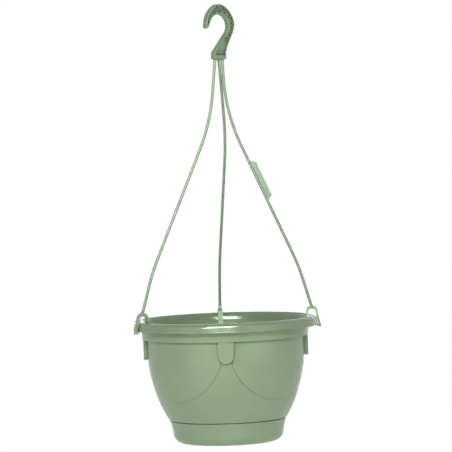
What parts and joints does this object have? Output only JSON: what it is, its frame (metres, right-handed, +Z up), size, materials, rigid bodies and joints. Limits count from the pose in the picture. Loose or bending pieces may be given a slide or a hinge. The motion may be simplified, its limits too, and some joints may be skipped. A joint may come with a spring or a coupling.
{
  "type": "hanging basket",
  "caption": "Round hanging basket with a rolled rim, raised drape panels, tongues and a push-on saucer, hung from a hook by three strands that clasp the rim",
  "frame": {"origin": "the axis of the bar that the hook hangs on, at the middle of the hook's thickness", "axes": "+Z up; the hook stands in the XZ plane with its opening towards -X; +Y along the bar"},
  "size_m": [0.2508, 0.2498, 0.5874],
  "materials": {
    "hanger": "satin moulded polypropylene, sage green, with lightly grained faces",
    "strand": "smooth moulded polypropylene, sage green, drawn a little glossier by stretching",
    "clasp": "satin moulded polypropylene, sage green",
    "bowl": "satin moulded polypropylene, sage green, glossier on the rim",
    "saucer": "satin moulded polypropylene, sage green"
  },
  "bodies": {
    "hook": {"hanger_hook": "hanger"},
    "basket": {"strand_root": "hanger", "strand_left": "strand", "strand_right": "strand", "strand_rear": "strand", "label_tab": "strand", "pot": "bowl"},
    "left_clasp": {"clasp_left": "clasp"},
    "right_clasp": {"clasp_right": "clasp"},
    "rear_clasp": {"clasp_rear": "clasp"},
    "dish": {"saucer": "saucer"}
  },
  "joints": [
    {"name": "basket_swing", "type": "hinge", "parent": "hook", "child": "basket", "pos_m": [0, 0, -0.0439], "axis": [1, 0, 0], "range_deg": [-12, 12]},
    {"name": "clasp_left_pivot", "type": "hinge", "parent": "basket", "child": "left_clasp", "pos_m": [-0.11767, 0.03032, -0.3803], "axis": [0.2588, 0.9659, 0], "range_deg": [0, 5]},
    {"name": "clasp_right_pivot", "type": "hinge", "parent": "basket", "child": "right_clasp", "pos_m": [0.08782, -0.07213, -0.3803], "axis": [-0.6157, -0.788, 0], "range_deg": [0, 5]},
    {"name": "clasp_rear_pivot", "type": "hinge", "parent": "basket", "child": "rear_clasp", "pos_m": [0.05931, 0.09826, -0.3803], "axis": [0.8387, -0.5446, 0], "range_deg": [0, 5]},
    {"name": "saucer_slide", "type": "slide", "parent": "basket", "child": "dish", "axis": [0, 0, 1], "range_m": [-0.04, 0]}
  ]
}
